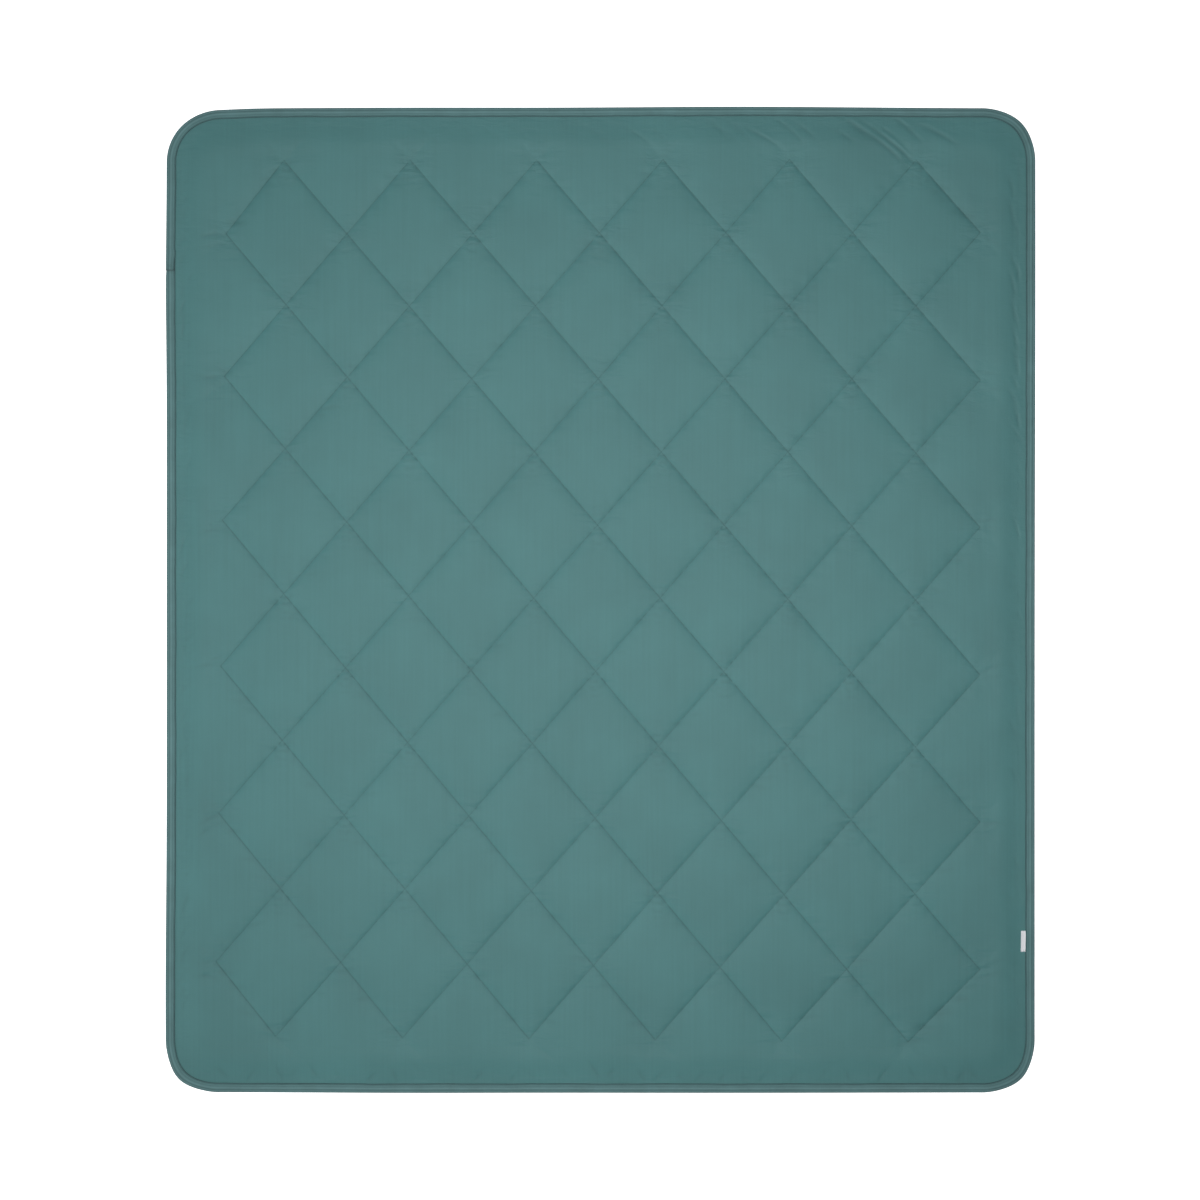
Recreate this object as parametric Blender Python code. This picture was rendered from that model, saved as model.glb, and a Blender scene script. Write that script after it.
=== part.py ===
"""Camp blanket: two woven panels over wadding, quilted in diamonds, with a bound edge and a woven label.

Metres, +Z up. The origin is under the middle of the blanket, on the surface it lies on; +Y is its length.
"""

import collections
import math

import bmesh
import bpy
from mathutils import Vector

# Overall size, laid flat
BLANKET_WIDTH = 1.500
BLANKET_LENGTH = 1.700
BLANKET_LOFT = 0.010
CORNER_RADIUS = 0.092

# Quilting: diamonds between two crossing sets of parallel seams
QUILT_MARGIN = 0.095
QUILT_DIAMONDS = 6
PILLOW_SLOPE = 0.022

# Cloth, wadding and thread
PANEL_THICKNESS = 0.0003
STITCHED_WADDING = 0.0012
THREAD_DIAMETER = 0.0005
CLEARANCE = 0.0003
FLOOR_CLEARANCE = 0.0001

# Binding tape, folded over the edge
TAPE_WIDTH = 0.016
TAPE_THICKNESS = 0.0005
TAPE_FOLD = 0.0016
TAPE_STITCH_INSET = 0.0022

# Where the tape's end laps over its start, on the left side
JOIN_FROM_TOP = 0.279
JOIN_OVERLAP = 0.028
JOIN_MARGIN = 0.003
JOIN_RAMP = 0.012
JOIN_WIDER = 0.0012
JOIN_NARROWER = 0.0017
TACK_FROM_END = 0.006

# Woven label, on the right side
LABEL_FROM_BOTTOM = 0.261
LABEL_LENGTH = 0.036
LABEL_THICKNESS = 0.00035
LABEL_SHOWING = 0.0083
LABEL_ROOT = 0.0020
LABEL_SEWN_IN = 0.010
LABEL_SIDE_ROOM = 0.0020
LABEL_RAMP = 0.006

CORNER_SEGMENTS = 9
FOLD_SEGMENTS = 4
HIDDEN_STATIONS = 3
THREAD_TURN = 0.004

HALF_WIDTH = BLANKET_WIDTH / 2
HALF_LENGTH = BLANKET_LENGTH / 2
JOIN_Y = HALF_LENGTH - JOIN_FROM_TOP
LABEL_Y = -HALF_LENGTH + LABEL_FROM_BOTTOM

# A thickness and the gap above it
TAPE_STEP = TAPE_THICKNESS + CLEARANCE
THREAD_STEP = THREAD_DIAMETER + CLEARANCE
PANEL_STEP = PANEL_THICKNESS + CLEARANCE

# Heights where the layers are sewn together, from the floor up. The tape has room under it for its own lapped end
TAPE_UNDER = FLOOR_CLEARANCE + THREAD_STEP + TAPE_STEP
BACK_SEWN = TAPE_UNDER + TAPE_STEP
WADDING_SEWN = BACK_SEWN + PANEL_STEP
FACE_SEWN = WADDING_SEWN + STITCHED_WADDING + CLEARANCE
TAPE_OVER = FACE_SEWN + PANEL_STEP
TAPE_TOP = TAPE_OVER + TAPE_THICKNESS

# How far the sheets stop short of the tape's outer fold, and where they start to rise beyond the tape
SHEET_EDGE = TAPE_FOLD + TAPE_STEP + CLEARANCE
SEAM_FLAT = TAPE_WIDTH + LABEL_ROOT + CLEARANCE + PANEL_THICKNESS
LABEL_LIFT = LABEL_THICKNESS + CLEARANCE

# The lattice: seams cross at the corners of these half diamonds
HALF_CELL_X = (BLANKET_WIDTH - 2 * QUILT_MARGIN) / (2 * QUILT_DIAMONDS)
HALF_CELL_Y = (BLANKET_LENGTH - 2 * QUILT_MARGIN) / (2 * QUILT_DIAMONDS)
FACE_SLOPE = math.atan2(BLANKET_LOFT - FACE_SEWN - PANEL_THICKNESS, PILLOW_SLOPE)

Station = collections.namedtuple("Station", "edge inward width lapped drawn_in lifted")


def clear_scene():
    for obj in list(bpy.data.objects):
        bpy.data.objects.remove(obj, do_unlink=True)


def material(name, colour, roughness):
    made = bpy.data.materials.new(name)
    made.use_nodes = True
    shader = made.node_tree.nodes["Principled BSDF"]
    shader.inputs["Base Color"].default_value = (*colour, 1.0)
    shader.inputs["Roughness"].default_value = roughness
    shader.inputs["Metallic"].default_value = 0.0
    made.diffuse_color = (*colour, 1.0)
    return made


def named_object(name, data, finish):
    data.materials.append(finish)
    obj = bpy.data.objects.new(name, data)
    blanket.objects.link(obj)
    return obj


def mesh_object(name, bm, finish):
    bmesh.ops.recalc_face_normals(bm, faces=bm.faces)
    mesh = bpy.data.meshes.new(name)
    bm.to_mesh(mesh)
    bm.free()
    return named_object(name, mesh, finish)


def corner_stations(centre_x, centre_y, start):
    """Unit directions round one corner, a quarter turn from the start angle, with the corner's centre."""
    for step in range(CORNER_SEGMENTS + 1):
        angle = math.radians(start + 90 * step / CORNER_SEGMENTS)
        yield Vector((centre_x, centre_y)), Vector((math.cos(angle), math.sin(angle)))


def rounded_outline(inset):
    """Points of the blanket's outline, anticlockwise, this far inside its edge."""
    centre_x = HALF_WIDTH - CORNER_RADIUS
    centre_y = HALF_LENGTH - CORNER_RADIUS
    corners = ((1, 1, 0), (-1, 1, 90), (-1, -1, 180), (1, -1, 270))
    return [
        centre + outward * (CORNER_RADIUS - inset)
        for side_x, side_y, start in corners
        for centre, outward in corner_stations(side_x * centre_x, side_y * centre_y, start)
    ]


def lattice_point(column, row):
    """A point of the lattice, counted in half diamonds from its top left corner."""
    x = (column - QUILT_DIAMONDS) * HALF_CELL_X
    y = (QUILT_DIAMONDS - row) * HALF_CELL_Y
    return Vector((x, y, 0.0))


def cut_along_seams(bm, faces):
    """Cuts the faces along both sets of seams and their lines beyond the quilted field."""
    for lean in (-1, 1):
        normal = Vector((HALF_CELL_Y, lean * HALF_CELL_X, 0.0))
        for across in range(1 - 2 * QUILT_DIAMONDS, 2 * QUILT_DIAMONDS, 2):
            edges = {edge for face in faces for edge in face.edges}
            verts = {vert for face in faces for vert in face.verts}
            cut = bmesh.ops.bisect_plane(
                bm,
                geom=[*faces, *edges, *verts],
                dist=1e-6,
                plane_co=(across * HALF_CELL_X, 0.0, 0.0),
                plane_no=normal,
            )
            faces = [item for item in cut["geom"] if isinstance(item, bmesh.types.BMFace)]
    return faces


def in_field(face):
    """Whether a face is one of the diamonds, with seams all round it."""
    reach_x = QUILT_DIAMONDS * HALF_CELL_X + CLEARANCE
    reach_y = QUILT_DIAMONDS * HALF_CELL_Y + CLEARANCE
    return all(abs(vert.co.x) < reach_x and abs(vert.co.y) < reach_y for vert in face.verts)


def quilted_layer(name, top, bottom, finish):
    """One layer of the blanket. top and bottom are each its height where it is sewn, and where it lofts."""
    bm = bmesh.new()
    lofted = bm.verts.layers.int.new("lofted")
    sheet = bm.faces.new([bm.verts.new((*point, 0.0)) for point in rounded_outline(SHEET_EDGE)])
    sheet.normal_update()
    bmesh.ops.inset_region(
        bm, faces=[sheet], thickness=SEAM_FLAT - SHEET_EDGE, use_boundary=True, use_even_offset=True
    )
    pieces = cut_along_seams(bm, [sheet])
    diamonds = [face for face in pieces if in_field(face)]
    border = [face for face in pieces if not in_field(face)]
    bmesh.ops.inset_individual(bm, faces=diamonds, thickness=PILLOW_SLOPE, use_even_offset=True)
    bmesh.ops.inset_region(
        bm, faces=border, thickness=PILLOW_SLOPE, use_boundary=True, use_even_offset=True
    )
    for face in diamonds + border:
        for vert in face.verts:
            vert[lofted] = 1
    doubled = bmesh.ops.extrude_face_region(bm, geom=bm.faces[:], use_keep_orig=True)
    upper = {item for item in doubled["geom"] if isinstance(item, bmesh.types.BMVert)}
    for vert in bm.verts:
        heights = top if vert in upper else bottom
        vert.co.z = heights[vert[lofted]]
    return mesh_object(name, bm, finish)


def station(edge, inward, width=TAPE_WIDTH, lapped=0.0, drawn_in=0.0, lifted=0.0):
    return Station(Vector(edge), Vector(inward), width, lapped, drawn_in, lifted)


def corner_of_tape(side_x, side_y, start):
    centre_x = side_x * (HALF_WIDTH - CORNER_RADIUS)
    centre_y = side_y * (HALF_LENGTH - CORNER_RADIUS)
    for centre, outward in corner_stations(centre_x, centre_y, start):
        yield station(centre + outward * CORNER_RADIUS, -outward)


def tape_stations():
    """The tape's course: from its hidden start down the left side, round four corners, and over its own start."""
    left = (-HALF_WIDTH, (1, 0))
    right = (HALF_WIDTH, (-1, 0))
    lap_top = JOIN_Y + JOIN_OVERLAP
    label_half = LABEL_LENGTH / 2 + LABEL_SIDE_ROOM
    hidden = [(lap_top, 1.0), (JOIN_Y - JOIN_MARGIN, 1.0), (JOIN_Y - JOIN_MARGIN - JOIN_RAMP, 0.0)]
    start = [station((left[0], y), left[1], drawn_in=amount) for y, amount in hidden]
    over_label = [
        (LABEL_Y - label_half - LABEL_RAMP, 0.0),
        (LABEL_Y - label_half, 1.0),
        (LABEL_Y + label_half, 1.0),
        (LABEL_Y + label_half + LABEL_RAMP, 0.0),
    ]
    label_side = [station((right[0], y), right[1], lifted=amount) for y, amount in over_label]
    lapping = [
        (lap_top + JOIN_MARGIN + JOIN_RAMP, TAPE_WIDTH, 0.0),
        (lap_top + JOIN_MARGIN, TAPE_WIDTH + JOIN_WIDER, 1.0),
        (JOIN_Y, TAPE_WIDTH - JOIN_NARROWER, 1.0),
    ]
    end = [station((left[0], y), left[1], width, lapped=amount) for y, width, amount in lapping]
    return [
        *start,
        *corner_of_tape(-1, -1, 180),
        *corner_of_tape(1, -1, 270),
        *label_side,
        *corner_of_tape(1, 1, 0),
        *corner_of_tape(-1, 1, 90),
        *end,
    ]


def tape_heights(place):
    """The outer faces of the folded tape at a station: its underside, and its top."""
    lap = place.lapped * TAPE_STEP
    return TAPE_UNDER - lap, TAPE_TOP + lap + place.lifted * LABEL_LIFT


def fold_profile(place, inset):
    """Half an ellipse round the fold, from top to bottom, this far inside the tape's outer face."""
    low, high = tape_heights(place)
    centre = TAPE_FOLD + place.drawn_in * TAPE_STEP
    middle = (high + low) / 2
    for step in range(FOLD_SEGMENTS + 1):
        angle = math.pi * step / FOLD_SEGMENTS
        across = centre - (TAPE_FOLD - inset) * math.sin(angle)
        yield across, middle + ((high - low) / 2 - inset) * math.cos(angle)


def tape_section(place):
    """The tape's folded section at a station, as points in space."""
    low, high = tape_heights(place)
    outer = [(place.width, high), *fold_profile(place, 0.0), (place.width, low)]
    inner = [
        (place.width, high - TAPE_THICKNESS),
        *fold_profile(place, TAPE_THICKNESS),
        (place.width, low + TAPE_THICKNESS),
    ]
    return [(*(place.edge + place.inward * across), z) for across, z in outer + inner[::-1]]


def binding_tape():
    """The folded tape, lofted through its stations because its end opens to lap over its start."""
    bm = bmesh.new()
    rings = [[bm.verts.new(point) for point in tape_section(place)] for place in tape_stations()]
    for here, ahead in zip(rings, rings[1:]):
        for i in range(len(here)):
            bm.faces.new((here[i - 1], here[i], ahead[i], ahead[i - 1]))
    count = len(rings[0])
    for ring in (rings[0], rings[-1]):
        for i in range(count // 2 - 1):
            bm.faces.new((ring[i], ring[i + 1], ring[count - 2 - i], ring[count - 1 - i]))
    return mesh_object("binding_tape", bm, tape_finish)


def thread(name, points, finish, closed=True):
    """A thread along its points, drawn as a tube."""
    curve = bpy.data.curves.new(name, "CURVE")
    curve.dimensions = "3D"
    curve.bevel_depth = THREAD_DIAMETER / 2
    curve.bevel_resolution = 1
    curve.use_fill_caps = True
    spline = curve.splines.new("POLY")
    spline.points.add(len(points) - 1)
    for target, point in zip(spline.points, points):
        target.co = (*point, 1.0)
    spline.use_cyclic_u = closed
    return named_object(name, curve, finish)


def seam_loop(number, levels):
    """One closed seam of the quilting: four legs that turn at the edge of the field, at alternate levels."""
    last = 2 * QUILT_DIAMONDS
    near = 2 * number - 1
    far = last - near
    turns = [
        lattice_point(near, 0),
        lattice_point(last, far),
        lattice_point(far, last),
        lattice_point(0, near),
    ]
    points = []
    for leg, (start, end) in enumerate(zip(turns, turns[1:] + turns[:1])):
        level = levels[leg % 2]
        along = (end - start).normalized() * THREAD_TURN
        points.append(start + Vector((0.0, 0.0, sum(levels) / 2)))
        points.append(start + along + Vector((0.0, 0.0, level)))
        points.append(end - along + Vector((0.0, 0.0, level)))
    return points


def binding_seam(above):
    """The seam along the tape's inner edge, above it or below it, over the lapped end and back to the start."""
    gap = CLEARANCE + THREAD_DIAMETER / 2
    points = []
    for place in tape_stations():
        low, high = tape_heights(place)
        z = high + gap if above else low - gap
        points.append((*(place.edge + place.inward * (place.width - TAPE_STITCH_INSET)), z))
    first_corner = points[HIDDEN_STATIONS]
    past_the_end = (first_corner[0], JOIN_Y - JOIN_MARGIN, first_corner[2])
    return [*points[HIDDEN_STATIONS:], past_the_end]


def join_tack():
    """Stitches across the tape's lapped end, from near the fold to near the binding seam."""
    start = -HALF_WIDTH + TAPE_FOLD
    end = -HALF_WIDTH + TAPE_WIDTH - JOIN_NARROWER - TAPE_STITCH_INSET - 2 * THREAD_STEP
    z = TAPE_TOP + TAPE_STEP + CLEARANCE + THREAD_DIAMETER / 2
    return [(start, JOIN_Y + TACK_FROM_END, z), (end, JOIN_Y + TACK_FROM_END, z)]


def label_piece(name, start, length, origin, tilt):
    """A flat piece of the label. It starts this far inwards of its own origin and runs inwards."""
    bm = bmesh.new()
    bmesh.ops.create_cube(bm, size=1.0)
    bmesh.ops.scale(bm, verts=bm.verts, vec=(length, LABEL_LENGTH, LABEL_THICKNESS))
    bmesh.ops.translate(bm, verts=bm.verts, vec=(-start - length / 2, 0.0, 0.0))
    piece = mesh_object(name, bm, label_finish)
    piece.location = origin
    piece.rotation_euler = (0.0, tilt, 0.0)
    return piece


def label():
    """The label, parted where it bends: the tail sewn under the tape, and the flap that turns up.

    The tail stops short of the circle that the flap's root corners sweep round the hinge.
    """
    half = LABEL_THICKNESS / 2
    hinge = (HALF_WIDTH - TAPE_WIDTH - LABEL_ROOT, LABEL_Y, FACE_SEWN + PANEL_STEP + half)
    tail_start = -LABEL_ROOT - LABEL_SEWN_IN
    tail_end = -math.hypot(half, half) - CLEARANCE
    label_piece("label_tail", tail_start, tail_end - tail_start, hinge, 0.0)
    label_piece("label_flap", half, LABEL_SHOWING - LABEL_ROOT - half, hinge, FACE_SLOPE)


clear_scene()
blanket = bpy.data.collections.new("camp_blanket")
bpy.context.scene.collection.children.link(blanket)

face_finish = material("woven_polyester_face", (0.085, 0.205, 0.202), 0.62)
back_finish = material("woven_polyester_back", (0.075, 0.185, 0.184), 0.66)
wadding_finish = material("polyester_wadding", (0.86, 0.87, 0.86), 0.95)
tape_finish = material("ribbed_binding_tape", (0.100, 0.190, 0.190), 0.72)
quilt_thread_finish = material("quilting_thread", (0.045, 0.120, 0.118), 0.55)
binding_thread_finish = material("binding_thread", (0.050, 0.125, 0.124), 0.55)
label_finish = material("woven_label", (0.640, 0.700, 0.850), 0.50)

quilted_layer(
    "back_panel",
    (BACK_SEWN + PANEL_THICKNESS, PANEL_THICKNESS),
    (BACK_SEWN, 0.0),
    back_finish,
)
quilted_layer(
    "wadding",
    (WADDING_SEWN + STITCHED_WADDING, BLANKET_LOFT - PANEL_STEP),
    (WADDING_SEWN, PANEL_STEP),
    wadding_finish,
)
quilted_layer(
    "face_panel",
    (FACE_SEWN + PANEL_THICKNESS, BLANKET_LOFT),
    (FACE_SEWN, BLANKET_LOFT - PANEL_THICKNESS),
    face_finish,
)
binding_tape()

needle_level = FACE_SEWN + PANEL_STEP + THREAD_DIAMETER / 2
bobbin_level = BACK_SEWN - CLEARANCE - THREAD_DIAMETER / 2
for seam_number in range(1, QUILT_DIAMONDS + 1):
    needle = seam_loop(seam_number, (needle_level, needle_level + THREAD_STEP))
    thread(f"quilt_needle_thread_{seam_number}", needle, quilt_thread_finish)
    bobbin = seam_loop(seam_number, (bobbin_level, bobbin_level - THREAD_STEP))
    thread(f"quilt_bobbin_thread_{seam_number}", bobbin, quilt_thread_finish)

thread("binding_needle_thread", binding_seam(above=True), binding_thread_finish)
thread("binding_bobbin_thread", binding_seam(above=False), binding_thread_finish)
thread("join_tack_thread", join_tack(), binding_thread_finish, closed=False)
label()
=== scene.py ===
"""A quilted camp blanket laid flat in a studio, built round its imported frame. Metres, +Z up."""

import math
import random

import bmesh
import bpy
import numpy as np
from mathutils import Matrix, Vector


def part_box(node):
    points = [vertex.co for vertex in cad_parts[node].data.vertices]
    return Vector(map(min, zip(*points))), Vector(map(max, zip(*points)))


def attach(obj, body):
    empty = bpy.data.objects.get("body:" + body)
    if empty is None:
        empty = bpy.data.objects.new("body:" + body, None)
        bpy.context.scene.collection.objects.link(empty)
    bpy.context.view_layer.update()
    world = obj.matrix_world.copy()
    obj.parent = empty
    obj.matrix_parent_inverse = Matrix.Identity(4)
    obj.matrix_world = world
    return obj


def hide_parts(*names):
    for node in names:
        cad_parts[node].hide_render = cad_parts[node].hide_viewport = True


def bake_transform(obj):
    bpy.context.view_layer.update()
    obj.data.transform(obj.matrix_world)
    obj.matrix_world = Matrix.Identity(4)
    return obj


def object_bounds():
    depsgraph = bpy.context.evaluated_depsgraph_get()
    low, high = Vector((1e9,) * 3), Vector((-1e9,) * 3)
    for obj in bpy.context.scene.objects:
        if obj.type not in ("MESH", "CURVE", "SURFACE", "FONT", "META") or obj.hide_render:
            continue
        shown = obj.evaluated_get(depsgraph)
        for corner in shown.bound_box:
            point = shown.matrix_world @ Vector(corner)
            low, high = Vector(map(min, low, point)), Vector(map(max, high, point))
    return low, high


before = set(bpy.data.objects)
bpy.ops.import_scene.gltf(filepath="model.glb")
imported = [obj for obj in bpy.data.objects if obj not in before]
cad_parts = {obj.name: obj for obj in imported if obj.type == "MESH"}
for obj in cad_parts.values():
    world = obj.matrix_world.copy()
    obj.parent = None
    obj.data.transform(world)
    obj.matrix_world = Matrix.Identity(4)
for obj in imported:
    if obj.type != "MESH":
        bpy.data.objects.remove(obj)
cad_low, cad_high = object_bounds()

# Studio
# A white floor, a wide dish with a grid high overhead, which leaves the far corners of the blanket darker,
# and a weaker soft box low on the left that picks out the seams. The camera looks straight down.

VIEW_WIDTH = 2.0738
VIEW_LENS_MM = 85
VIEW_SENSOR_MM = 36
VIEW_OFFSET = (-0.0012, 0.0004)

OVERHEAD_PLACE = (0.03, 0.06, 4.5)
OVERHEAD_RADIUS = 0.60
OVERHEAD_BEAM = 51.0
OVERHEAD_WATTS = 522.0
SIDE_PLACE = (-4.4, -1.9, 2.9)
SIDE_SIZE = 1.5
SIDE_WATTS = 88.0
AMBIENT = 0.10
HORIZON_GLOW = 0.85
FLOOR_SPAN = 60.0
FLOOR_GLOW = 0.90
FLOOR_GAP = 0.0003


def colour(hex_code):
    """An sRGB hex colour as linear red, green, blue and alpha."""
    channels = [int(hex_code[at : at + 2], 16) / 255 for at in (1, 3, 5)]
    linear = [c / 12.92 if c <= 0.04045 else ((c + 0.055) / 1.055) ** 2.4 for c in channels]
    return (*linear, 1.0)


def add_node(tree, kind, settings=(), inputs=()):
    """Adds a node. The value of an input is a plain value, or another node's output to link to it."""
    node = tree.nodes.new(kind)
    for name, value in dict(settings).items():
        setattr(node, name, value)
    for name, value in dict(inputs).items():
        if isinstance(value, bpy.types.NodeSocket):
            tree.links.new(value, node.inputs[name])
        else:
            node.inputs[name].default_value = value
    return node


def new_finish(name, **constants):
    """A material, its node tree and its Principled shader, with the shader's constant values set."""
    finish = bpy.data.materials.new(name)
    finish.use_nodes = True
    shader = finish.node_tree.nodes["Principled BSDF"]
    for socket, value in constants.items():
        shader.inputs[socket.replace("_", " ")].default_value = value
    return finish, finish.node_tree, shader


scene = bpy.context.scene
scene.view_settings.view_transform = "Standard"
edge_low, edge_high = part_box("binding_tape")
edge_level = (edge_low.z + edge_high.z) / 2

camera_data = bpy.data.cameras.new("studio_camera")
camera_data.lens = VIEW_LENS_MM
camera_data.sensor_width = VIEW_SENSOR_MM
camera = bpy.data.objects.new("studio_camera", camera_data)
camera.location = (*VIEW_OFFSET, edge_level + VIEW_WIDTH * VIEW_LENS_MM / VIEW_SENSOR_MM)
scene.collection.objects.link(camera)
scene.camera = camera

beam = bpy.data.lights.new("overhead_dish", "SPOT")
beam.energy = OVERHEAD_WATTS
beam.shadow_soft_size = OVERHEAD_RADIUS
beam.spot_size = math.radians(OVERHEAD_BEAM)
beam.spot_blend = 1.0
dish = bpy.data.objects.new("overhead_dish", beam)
dish.location = OVERHEAD_PLACE
dish.visible_camera = False
scene.collection.objects.link(dish)

panel = bpy.data.lights.new("side_soft_box", "AREA")
panel.shape = "DISK"
panel.size = SIDE_SIZE
panel.energy = SIDE_WATTS
soft_box = bpy.data.objects.new("side_soft_box", panel)
soft_box.location = SIDE_PLACE
soft_box.rotation_euler = (-Vector(SIDE_PLACE)).to_track_quat("-Z", "Y").to_euler()
soft_box.visible_camera = False
scene.collection.objects.link(soft_box)

studio = bpy.data.worlds.new("studio")
studio.use_nodes = True
scene.world = studio
direction = add_node(studio.node_tree, "ShaderNodeTexCoord").outputs["Generated"]
height = add_node(studio.node_tree, "ShaderNodeSeparateXYZ", inputs={"Vector": direction}).outputs["Z"]
glow = add_node(
    studio.node_tree,
    "ShaderNodeMapRange",
    settings={"interpolation_type": "SMOOTHSTEP"},
    inputs={
        "Value": height,
        "From Min": math.sin(math.radians(9)),
        "From Max": math.sin(math.radians(24)),
        "To Min": HORIZON_GLOW,
        "To Max": AMBIENT,
    },
)
background = studio.node_tree.nodes["Background"]
background.inputs["Color"].default_value = colour("#F4F8FF")
studio.node_tree.links.new(glow.outputs["Result"], background.inputs["Strength"])

# Painted plaster, rolled: matt, so it shows no reflection of the blanket.
floor_finish, tree, shader = new_finish(
    "matt_white_plaster",
    Base_Color=colour("#E8E8E8"),
    Roughness=0.9,
    Emission_Color=colour("#FFFFFF"),
    Emission_Strength=FLOOR_GLOW,
)
floor_mesh = bpy.data.meshes.new("studio_floor")
floor_reach = FLOOR_SPAN / 2
corners = ((-1, -1), (1, -1), (1, 1), (-1, 1))
floor_corners = [(side_x * floor_reach, side_y * floor_reach, 0.0) for side_x, side_y in corners]
floor_mesh.from_pydata(floor_corners, [], [(0, 1, 2, 3)])
floor_mesh.materials.append(floor_finish)
floor = bpy.data.objects.new("studio_floor", floor_mesh)
floor.location.z = cad_low.z - FLOOR_GAP
scene.collection.objects.link(floor)

# Outline and lie
# A rectangle of cloth with rounded corners. Nothing made of cloth lies quite square: its edges bow by up to
# about 3 mm, and three of its corners reach out.

CORNER_RADIUS = 0.092
# How far a corner's arc stays inside its square corner, along each side, as a share of the radius
CORNER_CUT = 0.29
# Each bow of an edge: its side, its middle and spread along the side, and how far it goes out
EDGE_BOWS = (
    ("right", 0.60, 0.45, 0.0013),
    ("left", 0.55, 0.13, 0.0016),
    ("left", -0.68, 0.20, 0.0020),
    ("top", 0.24, 0.30, 0.0029),
    ("top", -0.32, 0.24, 0.0012),
    ("top", -0.69, 0.07, -0.0034),
    ("foot", 0.20, 0.55, -0.0015),
    ("foot", -0.35, 0.20, -0.0010),
)
# Each corner that reaches out: its sides, and how far
CORNER_REACH = ((-1, -1, 0.0046), (1, -1, 0.0036), (1, 1, 0.0024))
CORNER_SPREAD = 0.036

half_width = edge_high.x
half_length = edge_high.y


def smooth_step(low, high, value):
    """0 below low, 1 above high, and a smooth rise between them."""
    share = np.clip((value - low) / (high - low), 0.0, 1.0)
    return share * share * (3 - 2 * share)


def edge_distance(x, y):
    """Distance inwards from the blanket's outer edge."""
    past_x = np.abs(x) - (half_width - CORNER_RADIUS)
    past_y = np.abs(y) - (half_length - CORNER_RADIUS)
    outside = np.hypot(np.maximum(past_x, 0), np.maximum(past_y, 0))
    return CORNER_RADIUS - outside - np.minimum(np.maximum(past_x, past_y), 0)


def outward(x, y):
    """Unit direction to the nearest point of the blanket's outer edge."""
    past_x = np.abs(x) - (half_width - CORNER_RADIUS)
    past_y = np.abs(y) - (half_length - CORNER_RADIUS)
    at_corner = (past_x > 0) & (past_y > 0)
    size = np.maximum(np.hypot(past_x, past_y), 1e-9)
    out_x = np.where(at_corner, past_x / size, past_x >= past_y)
    out_y = np.where(at_corner, past_y / size, past_x < past_y)
    return out_x * np.sign(x), out_y * np.sign(y)


def lie(x, y):
    """Where points of the blanket come to lie."""
    move_x, move_y = np.zeros_like(x), np.zeros_like(y)
    for side, middle, spread, size in EDGE_BOWS:
        if side in ("right", "left"):
            sign = 1 if side == "right" else -1
            near = np.clip(sign * x / half_width, 0.0, 1.0) ** 3
            move_x = move_x + sign * size * near * np.exp(-(((y - middle) / spread) ** 2))
        else:
            sign = 1 if side == "top" else -1
            near = np.clip(sign * y / half_length, 0.0, 1.0) ** 3
            move_y = move_y + size * near * np.exp(-(((x - middle) / spread) ** 2))
    for side_x, side_y, size in CORNER_REACH:
        from_corner = np.hypot(
            side_x * x - half_width + CORNER_RADIUS * CORNER_CUT,
            side_y * y - half_length + CORNER_RADIUS * CORNER_CUT,
        )
        share = size * np.exp(-((from_corner / CORNER_SPREAD) ** 2))
        move_x = move_x + side_x * share
        move_y = move_y + side_y * share
    return x + move_x, y + move_y


# Quilting pattern
# Six closed seams are sewn through all three layers, each a tilted rectangle that turns back at the sides of
# one field, so that they cross in diamonds. The layers crept under the needle, and the pattern with them.

DIAMONDS = 6
FIELD_MARGIN = 0.095
SIDES = 2 * DIAMONDS

# How far the turns at each side of the field have crept. Some of it grows along the side, from -1 to 1
TOP_CREEP = (-0.0015, 0.0045)
FOOT_CREEP = (-0.015, -0.0028, -0.0055)
RIGHT_CREEP = (-0.0013, 0.0088)
LEFT_CREEP = (0.010, 0.0125, -0.011)
CREEP_FADE = 0.050

cell_x = (half_width - FIELD_MARGIN) / DIAMONDS
cell_y = (half_length - FIELD_MARGIN) / DIAMONDS
field_x = DIAMONDS * cell_x
field_y = DIAMONDS * cell_y

# One leg of a seam across one half diamond, and the distance between a seam and the middle of its diamond
leg = math.hypot(cell_x, cell_y)
line_spacing = cell_x * cell_y / leg


def side_creep(side, along):
    """Creep of the turns at one side of the field, for places along it from -1 to 1."""
    flat = np.zeros_like(along)
    if side == "top":
        return np.stack([flat + TOP_CREEP[0], flat + TOP_CREEP[1]])
    if side == "foot":
        return np.stack([flat + FOOT_CREEP[0], FOOT_CREEP[1] + FOOT_CREEP[2] * along])
    if side == "right":
        return np.stack([flat, RIGHT_CREEP[0] + RIGHT_CREEP[1] * along])
    return np.stack([LEFT_CREEP[0] * along, LEFT_CREEP[1] + LEFT_CREEP[2] * along**2])


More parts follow.
